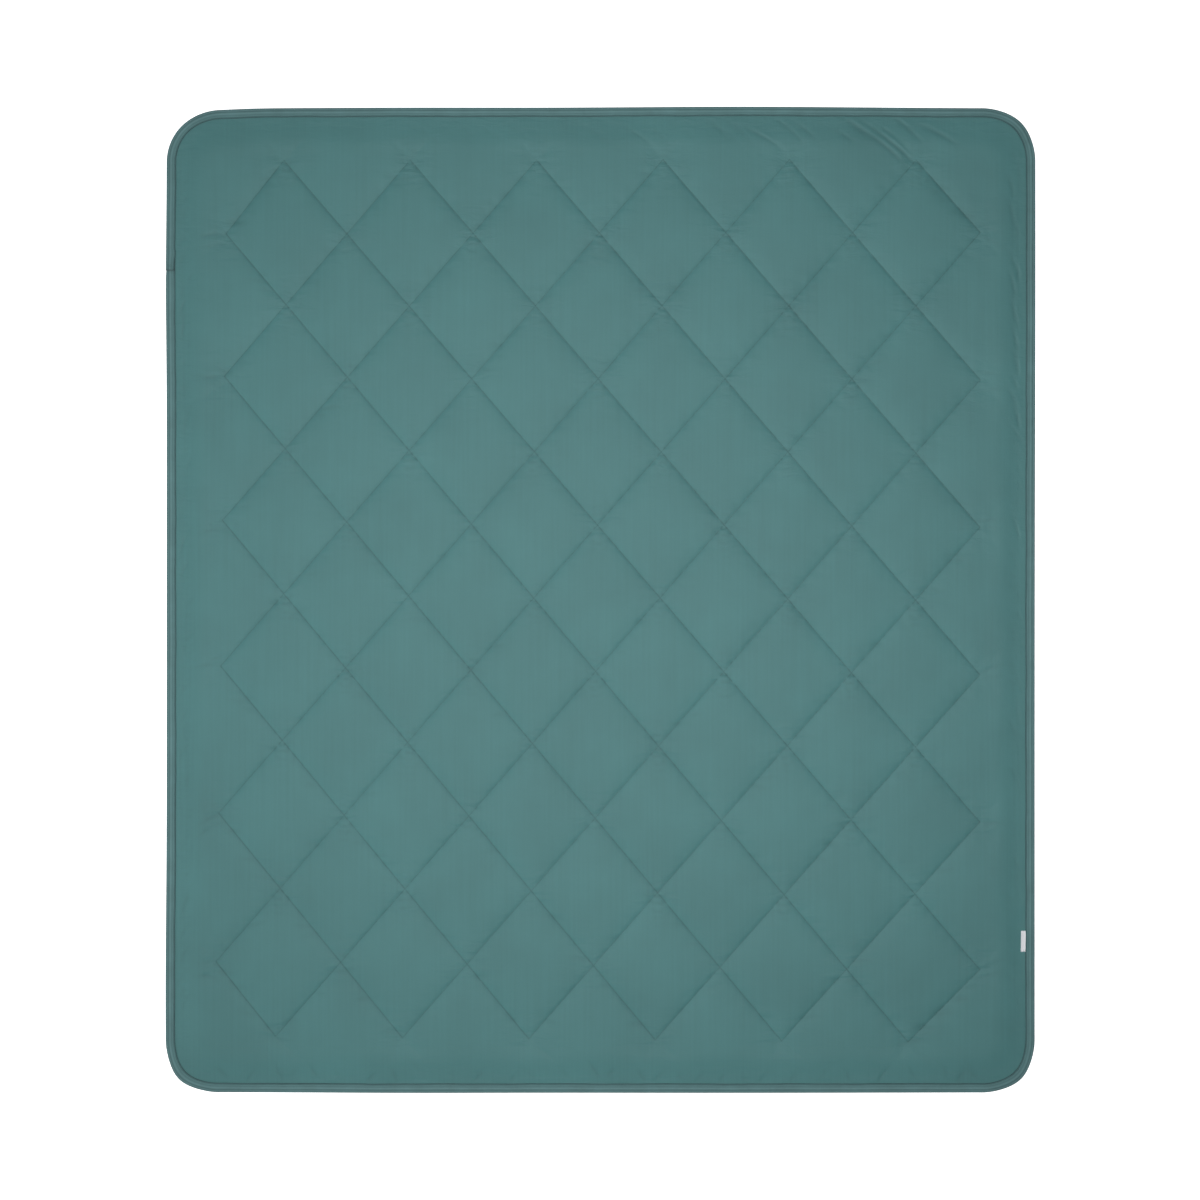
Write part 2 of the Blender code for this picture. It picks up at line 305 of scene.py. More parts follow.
def crept(x, y):
    """Places of points of the pattern after it has crept, where x and y are their places as marked out."""
    column = np.clip(x / cell_x, -DIAMONDS, DIAMONDS)
    row = np.clip(y / cell_y, -DIAMONDS, DIAMONDS)
    moved = []
    for lean in (1, -1):
        line = column + lean * row
        sides = []
        for half in (1, -1):
            seam = np.where(half * line < 1, half, line)
            run = SIDES - np.abs(seam)
            turn = (np.abs(seam) - DIAMONDS) / DIAMONDS
            if lean == 1 and half == 1:
                start, end = side_creep("top", turn), side_creep("right", turn)
            elif lean == 1:
                start, end = side_creep("left", -turn), side_creep("foot", -turn)
            elif half == 1:
                start, end = side_creep("foot", turn), side_creep("right", -turn)
            else:
                start, end = side_creep("left", turn), side_creep("top", -turn)
            first = np.where(half == 1, np.abs(seam) - DIAMONDS, -DIAMONDS)
            share = np.clip((column - first) / np.maximum(run, 1.0), 0.0, 1.0)
            sides.append(start + (end - start) * share)
        between = np.clip((line + 1) / 2, 0.0, 1.0)
        moved.append(sides[0] * between + sides[1] * (1 - between))
    falling, rising = moved
    across_falling = (cell_y * falling[0] + cell_x * falling[1]) / leg
    across_rising = (cell_y * rising[0] - cell_x * rising[1]) / leg
    outside = np.hypot(np.maximum(np.abs(x) - field_x, 0), np.maximum(np.abs(y) - field_y, 0))
    keep = 1 - smooth_step(0.0, CREEP_FADE, outside)
    shift_x = (across_falling + across_rising) * leg / (2 * cell_y)
    shift_y = (across_falling - across_rising) * leg / (2 * cell_x)
    return lie(x + shift_x * keep, y + shift_y * keep)


def seam_distance(x, y):
    """Distance of marked-out points from the nearest seam of each set, and along it."""
    beyond = np.maximum((np.abs(x) - field_x) * leg / cell_x, (np.abs(y) - field_y) * leg / cell_y)
    found = []
    for lean in (1, -1):
        line = x / cell_x + lean * y / cell_y
        nearest = 2 * np.floor(line / 2) + 1
        nearest = np.clip(nearest, 1 - SIDES, SIDES - 1)
        found.append(np.hypot((line - nearest) * line_spacing, np.maximum(beyond, 0)))
    return found


# Mesh of a layer
# Every layer is cut to one outline and sewn in one pattern, so all are shaped from the same kind of flat
# mesh: its lines run along the seams and close up towards them, and round the rim they follow the edge.

SHEET_EDGE = 0.0027
RIM_INSETS = (0.030, 0.0265, 0.0235, 0.021, 0.019, 0.0175, 0.0165, 0.0155, 0.012, 0.0075, SHEET_EDGE)
FIRST_LINE = 0.0015
LINE_GROWTH = 1.45
GRADED_LINES = 4


def mesh_lines(steps):
    """Places of all mesh lines of one set, where seams lie at the odd numbers."""
    widths = [FIRST_LINE * LINE_GROWTH**count for count in range(GRADED_LINES)]
    widths += [(line_spacing - sum(widths)) / (steps - GRADED_LINES)] * (steps - GRADED_LINES)
    half = np.concatenate([[0.0], np.cumsum(widths)]) / line_spacing
    diamond = np.concatenate([-half[:0:-1], half])
    return np.unique(np.concatenate([seam + diamond for seam in range(-SIDES - 1, SIDES + 2, 2)]).round(6))


def flat_sheet(name, steps, insets=RIM_INSETS):
    """A flat mesh of the layers' outline, with this many lines from a seam to the middle of a diamond."""
    lines = mesh_lines(steps)
    falling, rising = np.meshgrid(lines, lines, indexing="ij")
    x = cell_x * (falling + rising) / 2
    y = cell_y * (falling - rising) / 2
    middle_x = (x[:-1, :-1] + x[1:, 1:]) / 2
    middle_y = (y[:-1, :-1] + y[1:, 1:]) / 2
    kept = edge_distance(middle_x, middle_y) > insets[0]
    uses = np.zeros(x.shape, int)
    for shift_i in (0, 1):
        for shift_j in (0, 1):
            uses[shift_i : shift_i + len(kept), shift_j : shift_j + len(kept)] += kept
    rim = (uses > 0) & (uses < 4)
    out_x, out_y = outward(x, y)
    short = edge_distance(x, y) - insets[0]
    x = np.where(rim, x + out_x * short, x)
    y = np.where(rim, y + out_y * short, y)
    number = np.cumsum(uses.ravel() > 0).reshape(uses.shape) - 1
    i, j = np.nonzero(kept)
    faces = np.stack([number[i, j], number[i, j + 1], number[i + 1, j + 1], number[i + 1, j]], axis=1)
    points = np.stack([x[uses > 0], y[uses > 0], np.zeros((uses > 0).sum())], axis=1)
    mesh = bpy.data.meshes.new(name)
    mesh.from_pydata(points.tolist(), [], faces.tolist())
    bm = bmesh.new()
    bm.from_mesh(mesh)
    border = [edge for edge in bm.edges if edge.is_boundary]
    for inset in insets[1:]:
        made = bmesh.ops.extrude_edge_only(bm, edges=border)["geom"]
        fresh = {item for item in made if isinstance(item, bmesh.types.BMVert)}
        border = [
            item
            for item in made
            if isinstance(item, bmesh.types.BMEdge) and fresh.issuperset(item.verts)
        ]
        for vert in fresh:
            out_x, out_y = outward(vert.co.x, vert.co.y)
            reach = edge_distance(vert.co.x, vert.co.y) - inset
            vert.co.x += float(out_x) * reach
            vert.co.y += float(out_y) * reach
    bm.to_mesh(mesh)
    bm.free()
    return mesh


def points_of(mesh):
    """The mesh's points, as separate arrays of x, y and z."""
    points = np.empty(len(mesh.vertices) * 3, np.float32)
    mesh.vertices.foreach_get("co", points)
    return points.reshape(-1, 3).astype(float).T


def place_points(mesh, x, y, z):
    mesh.vertices.foreach_set("co", np.stack([x, y, z], axis=1).astype(np.float32).ravel())
    mesh.update()


def piece_from(mesh, finish, smooth=True):
    """A piece made of the mesh, in its finish."""
    mesh.materials.clear()
    mesh.materials.append(finish)
    if smooth:
        mesh.shade_smooth()
    piece = bpy.data.objects.new(mesh.name, mesh)
    scene.collection.objects.link(piece)
    return piece


def add_amount(mesh, name, values):
    """Gives the mesh's points an amount that a material can read."""
    mesh.attributes.new(name, "FLOAT", "POINT").data.foreach_set("value", values.astype(np.float32))


# Face panel
# Brushed polyester pongee, cut a little larger than the blanket and puffed up by the wadding between its
# seams. Sewing gathers it, so it puckers beside the seams, at their crossings and along the binding.

PANEL_THICKNESS = 0.0003
TAPE_REACH = 0.0163
RIM_RISE = 0.055
STEEP_SHARE = 0.31
STEEP_RUN = 0.0038
GENTLE_RUN = 0.034
FACE_STEPS = 15
SETTLE_STEPS = 8
SETTLE_FRAMES = 18
SETTLE_PRESSURE = 4.0
SPARE_CLOTH = 0.004
MOST_SETTLING = 0.0004
HELD_RIM = 0.019

CREASE_SEED = 17
CREASE_HEIGHT = 0.0019
SEAM_PUCKERS = 340
RIPPLE_HEIGHT = 0.0026
RIPPLE_WAVE = 0.0125
RIPPLE_REACH = 0.075
FINE_FROM = 0.00038

LABEL_Y = -half_length + 0.261
LABEL_LENGTH = 0.036
SMOOTH_BY_LABEL = (0.03, 0.05)

face_low, face_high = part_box("face_panel")
face_seam = face_low.z + PANEL_THICKNESS
face_loft = face_high.z - face_seam


def rise(distance):
    """Share of its loft that a layer has reached this far from a seam: steep beside it, and gentle beyond."""
    steep = STEEP_SHARE * np.exp(-distance / STEEP_RUN)
    gentle = (1 - STEEP_SHARE) * np.exp(-distance / GENTLE_RUN)
    return 1 - steep - gentle


def puffed(x, y):
    """Share of the full loft at points of the marked-out pattern."""
    first, second = seam_distance(x, y)
    rim = smooth_step(0.0, RIM_RISE, edge_distance(x, y) - TAPE_REACH)
    return rise(first) * rise(second) * rim


def settle(height):
    """Simulates the puffed cloth between its seams, and returns how far its points move, on the lattice.

    The cloth has some length to spare, so it buckles between the seams that hold it.
    """
    count = (SIDES + 2) * SETTLE_STEPS
    lines = np.arange(-count, count + 1) / SETTLE_STEPS
    falling, rising = np.meshgrid(lines, lines, indexing="ij")
    x = cell_x * (falling + rising) / 2
    y = cell_y * (falling - rising) / 2
    inside = edge_distance(x, y) > SHEET_EDGE
    kept = inside[:-1, :-1] & inside[1:, :-1] & inside[:-1, 1:] & inside[1:, 1:]
    number = np.cumsum(inside.ravel()).reshape(inside.shape) - 1
    i, j = np.nonzero(kept)
    faces = np.stack([number[i, j], number[i, j + 1], number[i + 1, j + 1], number[i + 1, j]], axis=1)
    points = np.stack([x[inside], y[inside], height(x[inside], y[inside])], axis=1)
    mesh = bpy.data.meshes.new("settling")
    mesh.from_pydata(points.tolist(), [], faces.tolist())
    cloth_piece = bpy.data.objects.new("settling", mesh)
    scene.collection.objects.link(cloth_piece)
    first, second = seam_distance(points[:, 0], points[:, 1])
    held = (np.minimum(first, second) < 1e-5) | (edge_distance(points[:, 0], points[:, 1]) < HELD_RIM)
    cloth_piece.vertex_groups.new(name="sewn").add(np.nonzero(held)[0].tolist(), 1.0, "REPLACE")
    cloth = cloth_piece.modifiers.new("settling", "CLOTH")
    cloth.settings.vertex_group_mass = "sewn"
    cloth.settings.use_pressure = True
    cloth.settings.uniform_pressure_force = SETTLE_PRESSURE
    cloth.settings.shrink_min = -SPARE_CLOTH
    cloth.settings.bending_stiffness = 0.3
    cloth.settings.effector_weights.gravity = 0.0
    cloth.collision_settings.use_collision = False
    cloth.point_cache.frame_end = SETTLE_FRAMES
    for frame_number in range(1, SETTLE_FRAMES + 1):
        scene.frame_set(frame_number)
    graph = bpy.context.evaluated_depsgraph_get()
    settled = bpy.data.meshes.new_from_object(cloth_piece.evaluated_get(graph))
    moved = np.stack(points_of(settled), axis=1) - points
    bpy.data.objects.remove(cloth_piece)
    scene.frame_set(1)
    far = np.maximum(np.linalg.norm(moved, axis=1, keepdims=True) / MOST_SETTLING, 1.0)
    grid = np.zeros((*x.shape, 3))
    grid[inside] = moved / far
    return grid


def read_settling(grid, x, y):
    """Smooth movements at marked-out points, read between the points of the lattice."""
    count = (SIDES + 2) * SETTLE_STEPS
    places = [(x / cell_x + lean * y / cell_y) * SETTLE_STEPS + count for lean in (1, -1)]
    starts = [np.clip(np.floor(place).astype(int), 1, 2 * count - 2) for place in places]
    weights = []
    for place, start in zip(places, starts):
        t = np.clip(place - start, 0.0, 1.0)
        weights.append(
            (
                ((2 - t) * t - 1) * t / 2,
                ((3 * t - 5) * t * t + 2) / 2,
                ((4 - 3 * t) * t + 1) * t / 2,
                (t - 1) * t * t / 2,
            )
        )
    total = np.zeros((len(x), 3))
    for a in range(4):
        for b in range(4):
            weight = (weights[0][a] * weights[1][b])[:, None]
            total += weight * grid[starts[0] + a - 1, starts[1] + b - 1]
    return total.T


def face_height(x, y):
    return face_seam + face_loft * puffed(x, y)


def clear_of_label(x, y):
    """0 under the label, where the cloth lies smooth, rising to 1 at a little distance from it."""
    gap = np.hypot(x - half_width, np.maximum(np.abs(y - LABEL_Y) - LABEL_LENGTH / 2, 0))
    return smooth_step(*SMOOTH_BY_LABEL, gap)


def crease(x, y, place, angle, length, width, height):
    """Height of one crease: a ridge with a shallower valley beside it, fading towards its ends."""
    turn = math.radians(angle)
    along = (x - place[0]) * math.cos(turn) + (y - place[1]) * math.sin(turn)
    across = (y - place[1]) * math.cos(turn) - (x - place[0]) * math.sin(turn)
    across = across + 0.12 * along**2 / length
    ridge = 0.35 * np.exp(-((across / width) ** 2)) - 0.75 * np.exp(-((across / width + 1.3) ** 2))
    return height * ridge * np.exp(-((2 * along / length) ** 2))


def foot_puckers(pick):
    """Short puckers where the foot's raw edge was gathered under the binding."""
    drawn = []
    across = -half_width + CORNER_RADIUS
    while across < half_width - CORNER_RADIUS:
        place = (across, -half_length + pick.uniform(0.024, 0.040))
        angle = 90 + pick.choice((-1, 1)) * pick.uniform(18, 42)
        length = pick.uniform(0.018, 0.038)
        drawn.append((place, angle, length, pick.uniform(0.0032, 0.0045), pick.uniform(0.2, 0.55)))
        across += pick.uniform(0.018, 0.060)
    return drawn


def drag_lines(pick):
    """Long drag lines in the head border, which was pulled to the right as it was bound.

    The last two are the deepest, and run down to the last turn of the quilting.
    """
    drawn = []
    across = -0.30
    while across < 0.60:
        strength = 0.22 + 0.45 * max(0.0, across / 0.5)
        place = (across, half_length - pick.uniform(0.030, 0.050))
        size = strength * pick.uniform(0.5, 1.2)
        angle = -pick.uniform(28, 44)
        drawn.append((place, angle, pick.uniform(0.040, 0.080), pick.uniform(0.0030, 0.0046), size))
        across += pick.uniform(0.024, 0.070)
    for aside, down, size in ((-0.038, 0.035, 1.0), (-0.052, 0.031, 0.8)):
        place = ((DIAMONDS - 1) * cell_x + aside, field_y + down)
        drawn.append((place, -41, 0.110, 0.0040, size))
    return drawn


def border_creases(pick):
    """Steep creases down the right border, close to the binding, and a few down the left."""
    drawn = []
    runs = ((1, 0.77, 0.30, 0.6), (1, 0.30, -0.70, 0.3), (-1, 0.72, -0.70, 0.3))
    for side, top, bottom, strength in runs:
        down = top
        while down > bottom:
            place = (side * (half_width - pick.uniform(0.024, 0.038)), down)
            angle = -side * pick.uniform(58, 84)
            size = strength * pick.uniform(0.4, 1.1)
            drawn.append((place, angle, pick.uniform(0.024, 0.048), pick.uniform(0.0027, 0.0036), size))
            down -= pick.uniform(0.010, 0.034)
    return drawn


def turn_creases(pick):
    """Level creases beside the turns at the right and left of the field."""
    drawn = []
    for side in (-1, 1):
        for row in range(1 - DIAMONDS, DIAMONDS, 2):
            for _ in range(2):
                aside = field_x + pick.uniform(0.010, 0.030)
                place = (side * aside, row * cell_y + pick.uniform(-0.022, 0.022))
                size = pick.uniform(0.2, 0.45)
                drawn.append((place, pick.uniform(-22, 22), pick.uniform(0.024, 0.045), 0.0036, size))
    return drawn


def seam_puckers(pick):
    """Small puckers beside the seams, where the needle held the cloth back."""
    drawn = []
    for _ in range(SEAM_PUCKERS):
        line = 2 * pick.randrange(-DIAMONDS, DIAMONDS) + 1
        lean = pick.choice((1, -1))
        column = pick.uniform(max(-DIAMONDS, line - DIAMONDS), min(DIAMONDS, line + DIAMONDS))
        row = lean * (line - column)
        place = (column * cell_x + pick.choice((-1, 1)) * pick.uniform(0.006, 0.010), row * cell_y)
        angle = pick.uniform(-16, 16)
        drawn.append((place, angle, pick.uniform(0.016, 0.034), 0.0042, pick.uniform(0.12, 0.38)))
    return drawn


def ripples(pick, x, y):
    """Height of the ripples that hang below each crossing, with fainter ones above it."""
    total = np.zeros_like(x)
    for column in range(1 - DIAMONDS, DIAMONDS):
        for row in range(2 - DIAMONDS, DIAMONDS + 1):
            if (column + row) % 2 == 0:
                continue
            for down, share in ((1, 1.0), (-1, 0.45)):
                strength = share * pick.uniform(0.2, 1.0) * RIPPLE_HEIGHT
                side = (x - column * cell_x) + pick.uniform(-0.004, 0.004)
                below = down * (row * cell_y - y) + 1.6 * side**2 / 0.05
                near = (below > 0) & (below < RIPPLE_REACH) & (np.abs(side) < 0.05)
                depth = below[near]
                wave = np.cos(2 * math.pi * depth / RIPPLE_WAVE + pick.uniform(-0.6, 0.6))
                window = np.exp(-((side[near] / (0.010 + 0.40 * depth)) ** 2)) * depth / 0.012
                total[near] += strength * wave * window * np.exp(-depth / 0.013)
    return total


def creased(x, y):
    """Height that the creases add at points of the marked-out pattern."""
    pick = random.Random(CREASE_SEED)
    groups = (foot_puckers, drag_lines, border_creases, turn_creases, seam_puckers)
    total = np.zeros_like(x)
    for group in groups:
        for place, angle, length, width, size in group(pick):
            near = np.hypot(x - place[0], y - place[1]) < length * 1.2
            total[near] += crease(x[near], y[near], place, angle, length, width, size * CREASE_HEIGHT)
    total += ripples(pick, x, y)
    total *= smooth_step(TAPE_REACH, TAPE_REACH + 0.006, edge_distance(x, y)) * clear_of_label(x, y)
    # The wadding below keeps the valleys shallow
    room = 0.00045 + 0.0015 * puffed(x, y)
    return np.where(total < 0, room * np.tanh(total / room), total)


def refine(mesh, points):
    """Halves the mesh's lines round the given points."""
    bm = bmesh.new()
    bm.from_mesh(mesh)
    bm.verts.ensure_lookup_table()
    chosen = {face for point in points for face in bm.verts[point].link_faces}
    edges = {edge for face in chosen for edge in face.edges}
    in_order = sorted(edges, key=lambda edge: edge.index)
    bmesh.ops.subdivide_edges(bm, edges=in_order, cuts=1, use_grid_fill=True)
    bmesh.ops.triangulate(bm, faces=[face for face in bm.faces if len(face.verts) > 4])
    bm.to_mesh(mesh)
    bm.free()


face_mesh = flat_sheet("quilted_face", FACE_STEPS)
marked_x, marked_y, _ = points_of(face_mesh)
creases = creased(marked_x, marked_y)
in_border = (np.abs(marked_x) > field_x) | (np.abs(marked_y) > field_y)
refine(face_mesh, np.nonzero((np.abs(creases) > FINE_FROM) & in_border)[0])
marked_x, marked_y, _ = points_of(face_mesh)
creases = creased(marked_x, marked_y)
x, y, z = marked_x, marked_y, face_height(marked_x, marked_y) + creases
settling = settle(face_height)
move_x, move_y, move_z = read_settling(settling, x, y) * clear_of_label(x, y)
x, y, z = x + move_x, y + move_y, z + move_z
x, y = crept(x, y)
place_points(face_mesh, x, y, z)

# Painted shade: how far each point lies in a seam's groove, in a crease's valley, or against the binding,
# which darkens the cloth's colour there
first, second = seam_distance(marked_x, marked_y)
at_tape = edge_distance(marked_x, marked_y) - TAPE_REACH
pinched = np.maximum(0.60 * np.exp(-first / 0.0009), 0.26 * np.exp(-second / 0.0009))
pinched += 0.8 * np.exp(-np.abs(at_tape) / 0.0007)
add_amount(face_mesh, "pinched", np.clip(pinched - creases / 0.0016, 0.0, 1.0))
# Fine wrinkles gather at the crossings, beside the seams and along the binding
crossing = np.hypot(first, second)
drawn_in = np.exp(-crossing / 0.030)
drawn_in += 0.5 * np.exp(-at_tape / 0.030)
drawn_in += 0.3 * np.exp(-np.minimum(first, second) / 0.012)
add_amount(face_mesh, "drawn_in", np.clip(drawn_in, 0.0, 1.0) * clear_of_label(marked_x, marked_y))

# A light plain weave with a brushed nap: an even, soft tone with no shine, that pales a little at a low angle
face_finish, tree, shader = new_finish(
    "brushed_polyester_pongee",
    Roughness=0.62,
    Sheen_Weight=0.12,
    Sheen_Roughness=0.45,
)
place = add_node(tree, "ShaderNodeTexCoord").outputs["Object"]
# Cloudy tone, from where the nap lies one way or the other
clouds = add_node(
    tree,
    "ShaderNodeTexNoise",
    inputs={"Vector": place, "Scale": 7.0, "Detail": 5.0, "Roughness": 0.6},
)
# Slubs: thicker weft yarns that run down the cloth as faint streaks, wider apart here than the real yarns
stretched = add_node(
    tree,
    "ShaderNodeMapping",
    inputs={"Vector": place, "Scale": (230.0, 5.0, 1.0)},
)
slubs = add_node(
    tree,
    "ShaderNodeTexNoise",
    inputs={"Vector": stretched.outputs["Vector"], "Scale": 1.0, "Detail": 2.0},
)
tone = add_node(
    tree,
    "ShaderNodeMath",
    settings={"operation": "MULTIPLY_ADD"},
    inputs={0: slubs.outputs["Fac"], 1: 0.45, 2: clouds.outputs["Fac"]},
)
value = add_node(
    tree,
    "ShaderNodeMapRange",
    inputs={
        "Value": tone.outputs["Value"],
        "From Min": 0.45,
        "From Max": 1.0,
        "To Min": 0.92,
        "To Max": 1.08,
    },
)
# Painted shade: the cloth's colour is darkened in the seams, in the creases' valleys and along the binding,
# where their sides shade one another
groove = add_node(tree, "ShaderNodeAttribute", settings={"attribute_name": "pinched"})
shade = add_node(
    tree,
    "ShaderNodeMath",
    settings={"operation": "MULTIPLY_ADD"},
    inputs={0: groove.outputs["Fac"], 1: -0.26, 2: 1.0},
)
# Painted shade: the cloth's random tone, times the darkening in its grooves and along the binding
tone_with_painted_shade = add_node(
    tree,
    "ShaderNodeMath",
    settings={"operation": "MULTIPLY"},
    inputs={0: value.outputs["Result"], 1: shade.outputs["Value"]},
)
dyed = add_node(
    tree,
    "ShaderNodeHueSaturation",
    inputs={"Color": colour("#467B7B"), "Value": tone_with_painted_shade.outputs["Value"]},
)
tree.links.new(dyed.outputs["Color"], shader.inputs["Base Color"])
# Plain weave, at four times its real pitch so that it can be seen
yarns = []
for direction in ("X", "Y"):
    yarns.append(
        add_node(
            tree,
            "ShaderNodeTexWave",
            settings={"bands_direction": direction},
            inputs={"Vector": place, "Scale": 2 * math.pi / (20 * 0.0011), "Distortion": 0.6},
        )
    )
weave = add_node(
    tree,
    "ShaderNodeMath",
    settings={"operation": "MULTIPLY"},
    inputs={0: yarns[0].outputs["Fac"], 1: yarns[1].outputs["Fac"]},
)
woven = add_node(
    tree,
    "ShaderNodeBump",
    inputs={"Height": weave.outputs["Value"], "Strength": 0.25, "Distance": 0.0002},
)
# Fine level wrinkles, finer than the mesh, where the cloth is drawn in
levelled = add_node(
    tree,
    "ShaderNodeMapping",
    inputs={"Vector": place, "Scale": (28.0, 85.0, 1.0)},
)
wrinkles = add_node(
    tree,
    "ShaderNodeTexNoise",
    inputs={"Vector": levelled.outputs["Vector"], "Scale": 1.0, "Detail": 3.0, "Distortion": 0.5},
)
gathered = add_node(tree, "ShaderNodeAttribute", settings={"attribute_name": "drawn_in"})
wrinkled = add_node(
    tree,
    "ShaderNodeMath",
    settings={"operation": "MULTIPLY"},
    inputs={0: wrinkles.outputs["Fac"], 1: gathered.outputs["Fac"]},
)
bump = add_node(
    tree,
    "ShaderNodeBump",
    inputs={
        "Height": wrinkled.outputs["Value"],
        "Strength": 0.8,
        "Distance": 0.0030,
        "Normal": woven.outputs["Normal"],
    },
)
tree.links.new(bump.outputs["Normal"], shader.inputs["Normal"])
face = piece_from(face_mesh, face_finish)
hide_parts("face_panel")
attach(face, "blanket")

# Wadding
# A batt of bonded polyester fibre between the panels. Every seam presses it to a millimetre, and it fills
# the diamonds and the border between them.

WADDING_STEPS = 9
WADDING_CLEAR = 0.0006
WADDING_SHARE = 0.72
BACK_FULLNESS = 1.5

back_low, back_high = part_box("back_panel")
back_seam = back_high.z - PANEL_THICKNESS


def back_height(x, y):
    """Height of the back panel, which the floor presses flat except near the seams."""
    share = smooth_step(0.0, 1.0, np.clip(puffed(x, y) * BACK_FULLNESS, 0.0, 1.0))
    return back_seam * (1 - share) + back_low.z


wadding_mesh = flat_sheet("wadding_batt", WADDING_STEPS)
wadding_bm = bmesh.new()
wadding_bm.from_mesh(wadding_mesh)
doubled = bmesh.ops.extrude_face_region(wadding_bm, geom=wadding_bm.faces[:], use_keep_orig=True)
upper = {item for item in doubled["geom"] if isinstance(item, bmesh.types.BMVert)}
is_upper = np.array([vert in upper for vert in wadding_bm.verts])
bmesh.ops.recalc_face_normals(wadding_bm, faces=wadding_bm.faces)
wadding_bm.to_mesh(wadding_mesh)
wadding_bm.free()
x, y, _ = points_of(wadding_mesh)
bottom = back_height(x, y) + WADDING_CLEAR
top = bottom + WADDING_SHARE * (face_height(x, y) - PANEL_THICKNESS - bottom)
z = np.where(is_upper, top, bottom)
place_points(wadding_mesh, *crept(x, y), z)

# White crimped fibre, quite dull. It is seen only when a panel is taken off
wadding_finish, tree, shader = new_finish(
    "bonded_polyester_wadding",
    Base_Color=colour("#EDEEED"),
    Roughness=0.95,
)
wadding = piece_from(wadding_mesh, wadding_finish)
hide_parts("wadding")
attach(wadding, "blanket")

# Back panel
# The same pongee as the face, unbrushed. It lies on the floor, so it is flat except along the seams.

BACK_STEPS = 12

back_mesh = flat_sheet("quilted_back", BACK_STEPS)
back_mesh.flip_normals()
x, y, _ = points_of(back_mesh)
z = back_height(x, y)
place_points(back_mesh, *crept(x, y), z)
# Unbrushed, so a little duller and darker than the face
back_finish, tree, shader = new_finish(
    "plain_polyester_pongee",
    Base_Color=colour("#4E7776"),
    Roughness=0.68,
)
back = piece_from(back_mesh, back_finish)
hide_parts("back_panel")
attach(back, "blanket")

# Binding
# Ribbed polyester tape 35 mm wide, folded over all the raw edges and sewn down through both its sides. Its
# end laps over its start on the left side. Two soft cords run along its weave, and it gathers in the corners.

TAPE_WIDTH = 0.016
TAPE_THICKNESS = 0.0005
TAPE_FOLD = 0.0016
TAPE_STEP = 0.0008
TAPE_DRAWN_IN = 0.0006
STITCH_INSET = 0.0022
JOIN_Y = half_length - 0.279
JOIN_OVERLAP = 0.028
JOIN_MARGIN = 0.0015
JOIN_RAMP = 0.012
JOIN_WIDER = 0.0012
JOIN_NARROWER = 0.0017
LABEL_LIFT = 0.00065
LABEL_RAMP = 0.006
STATION_SPACING = 0.006
CORNER_SPACING = 0.004
FOLD_POINTS = 7
GATHER_WAVE = 0.0105
GATHER_HEIGHT = 0.00022
WANDER = 0.0003

# Across the tape's top, from the fold: where each crest or valley lies, its half width and its height
TAPE_RELIEF = (
    (0.0026, 0.0010, 0.00012),
    (0.0046, 0.0008, -0.00020),
    (0.0076, 0.0017, 0.00012),
    (0.0112, 0.0009, -0.00008),
)
STITCH_VALLEY = (0.0009, -0.00025)

tape_low = edge_low.z + TAPE_STEP
tape_high = face_seam + 0.0003 + TAPE_THICKNESS


def tape_course():
    """Points of the tape's outer edge, from its hidden start to its lapped end.

    Each comes with its inward direction, and how far round a corner it is, from 0 through 1 to 0.
    """
    centre_x = half_width - CORNER_RADIUS
    centre_y = half_length - CORNER_RADIUS
    stations = []

    def run(start, end, inward, spacing=STATION_SPACING):
        start, end = Vector(start), Vector(end)
        count = max(2, round((end - start).length / spacing))
        for step in range(count):
            stations.append((start.lerp(end, step / count), Vector(inward), 0.0))

    def turn(side_x, side_y, start):
        count = round(CORNER_RADIUS * math.pi / 2 / CORNER_SPACING)
        for step in range(count):
            angle = math.radians(start + 90 * step / count)
            out = Vector((math.cos(angle), math.sin(angle)))
            edge = Vector((side_x * centre_x, side_y * centre_y)) + out * CORNER_RADIUS
            stations.append((edge, -out, math.sin(math.pi * step / count)))

    lap_top = JOIN_Y + JOIN_OVERLAP
    run((-half_width, lap_top), (-half_width, JOIN_Y + 0.001), (1, 0), 0.003)
    run((-half_width, JOIN_Y + 0.001), (-half_width, JOIN_Y - 0.004), (1, 0), 0.0005)
    run((-half_width, JOIN_Y - 0.004), (-half_width, JOIN_Y - 0.02), (1, 0), 0.003)
    run((-half_width, JOIN_Y - 0.02), (-half_width, -centre_y), (1, 0))
    turn(-1, -1, 180)
    run((-centre_x, -half_length), (centre_x, -half_length), (0, 1))
    turn(1, -1, 270)
    run((half_width, -centre_y), (half_width, LABEL_Y - 0.03), (-1, 0))
    run((half_width, LABEL_Y - 0.03), (half_width, LABEL_Y + 0.03), (-1, 0), 0.003)
    run((half_width, LABEL_Y + 0.03), (half_width, centre_y), (-1, 0))
    turn(1, 1, 0)
    run((centre_x, half_length), (-centre_x, half_length), (0, -1))
    turn(-1, 1, 90)
    run((-half_width, centre_y), (-half_width, lap_top + 0.02), (1, 0))
    run((-half_width, lap_top + 0.02), (-half_width, JOIN_Y + 0.003), (1, 0), 0.003)
    run((-half_width, JOIN_Y + 0.003), (-half_width, JOIN_Y), (1, 0), 0.0005)
    stations.append((Vector((-half_width, JOIN_Y)), Vector((1, 0)), 0.0))
    return stations


